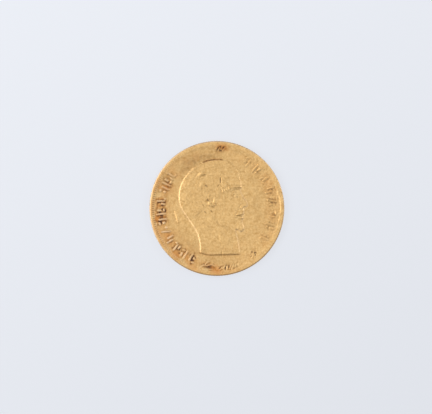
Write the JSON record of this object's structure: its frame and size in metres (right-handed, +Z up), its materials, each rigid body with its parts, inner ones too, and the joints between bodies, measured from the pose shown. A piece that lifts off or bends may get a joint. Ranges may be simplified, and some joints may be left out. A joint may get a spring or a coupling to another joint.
{
  "type": "gold coin",
  "caption": "Small worn gold coin lying flat, a bareheaded profile in low relief inside a ring of strokes, a wreath on the back.",
  "frame": {"origin": "centre of the coin on the surface that it lies on, which is the plane of the back's rim", "axes": "+Z up out of the portrait side, along the coin's axis; +Y towards the portrait's crown; +X to the right, the way the portrait faces"},
  "size_m": [0.019, 0.019, 0.0009],
  "materials": {
    "gold": "worn satin gold with brown grime in the recesses"
  },
  "bodies": {
    "root": {"gold_coin": "gold"}
  },
  "joints": []
}
